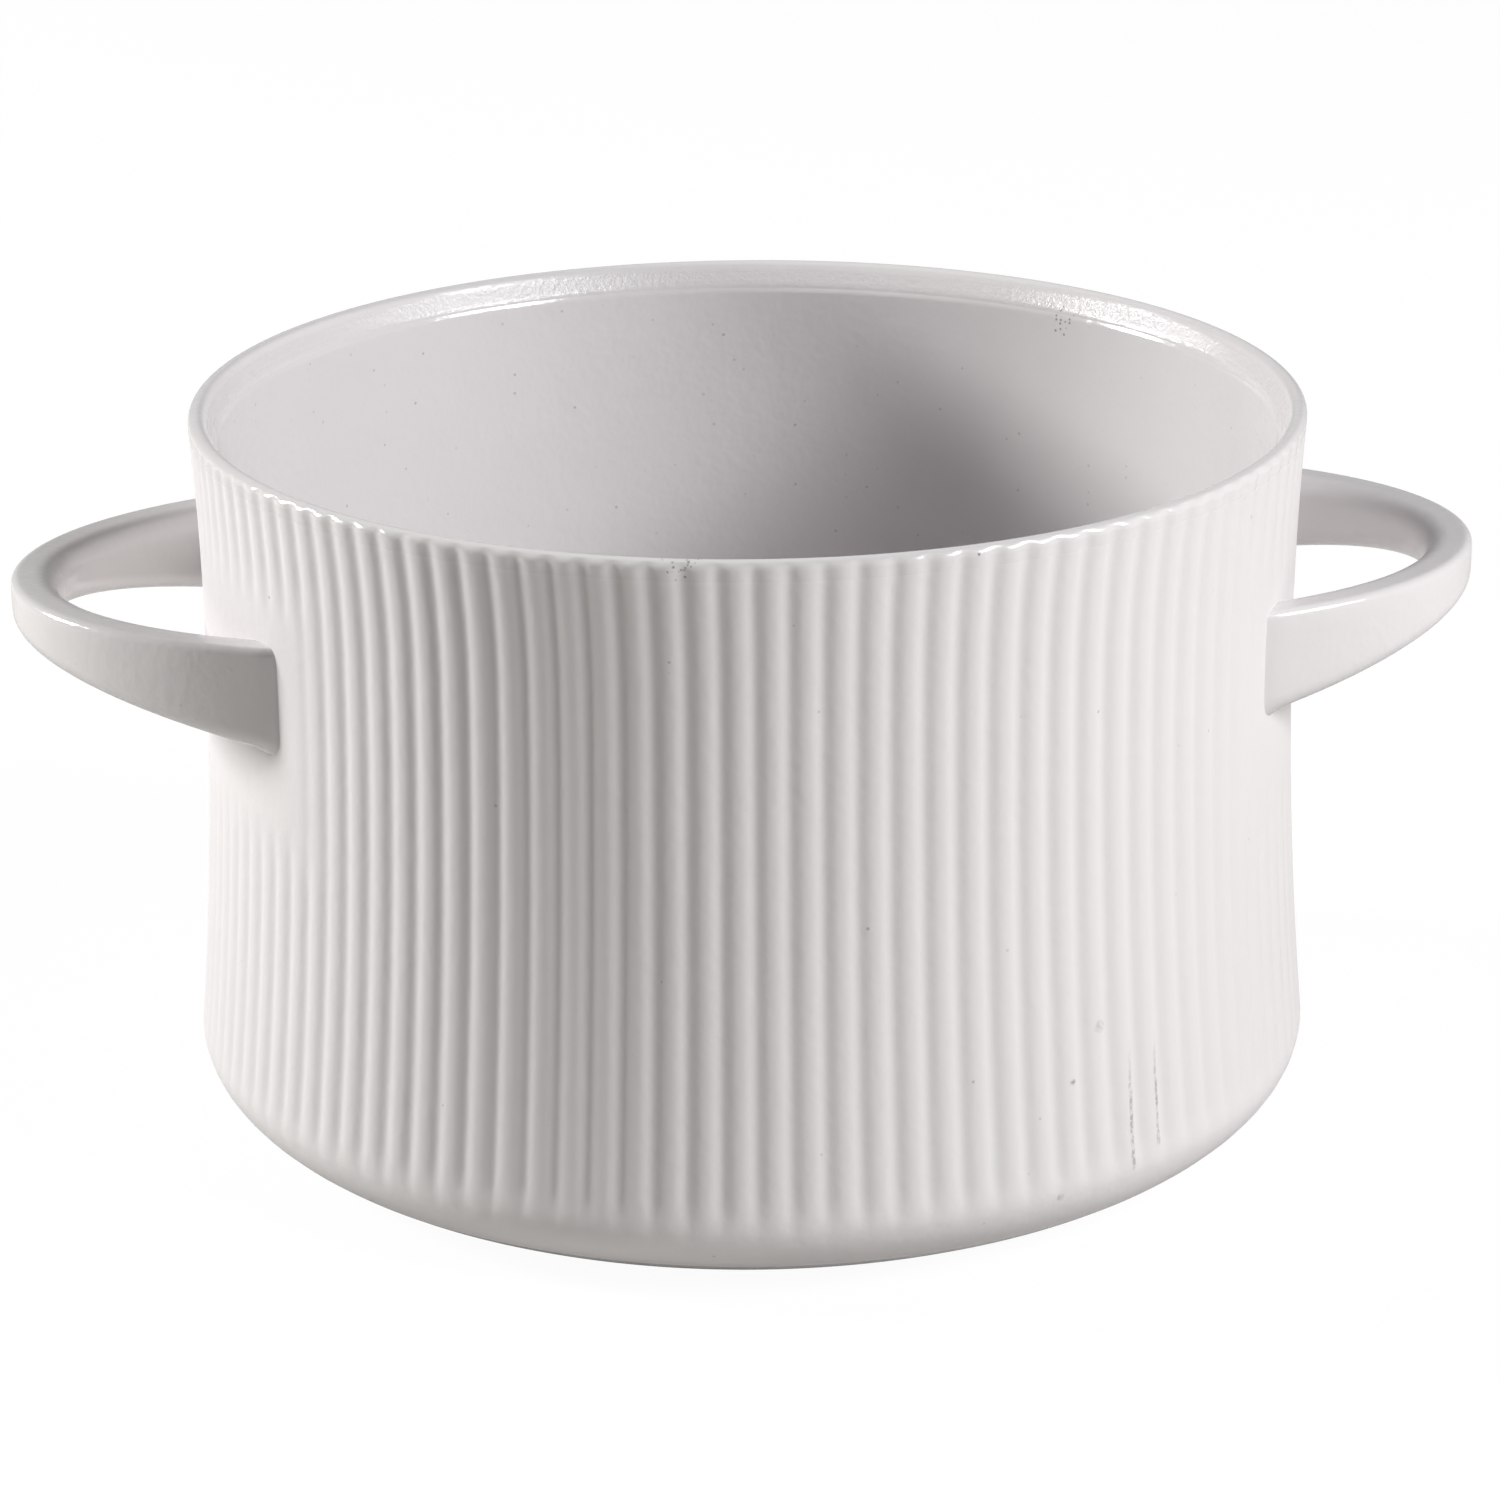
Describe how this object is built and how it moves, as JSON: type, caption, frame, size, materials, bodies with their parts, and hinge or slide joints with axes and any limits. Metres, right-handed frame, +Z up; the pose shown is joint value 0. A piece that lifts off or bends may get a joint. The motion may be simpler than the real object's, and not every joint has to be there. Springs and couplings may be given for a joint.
{
  "type": "mini casserole dish",
  "caption": "Small round white porcelain casserole dish with a finely ribbed wall, a smooth lip and two loop handles, open at the top, for baking and serving single portions.",
  "frame": {"origin": "centre of the plane that the foot ring stands on", "axes": "+Z up along the bowl's axis, +X towards the right handle, -Y towards the front"},
  "size_m": [0.1594, 0.123, 0.0787],
  "materials": {
    "bowl": "white glaze, glossy inside and on the lip, soft sheen on the ribs",
    "handle": "glossy white glaze",
    "slip_joint": "glossy white glaze over smoothed slip"
  },
  "bodies": {
    "root": {"bowl": "bowl", "handle_left": "handle", "handle_right": "handle", "slip_joint_left_front": "slip_joint", "slip_joint_left_back": "slip_joint", "slip_joint_right_front": "slip_joint", "slip_joint_right_back": "slip_joint"}
  },
  "joints": []
}
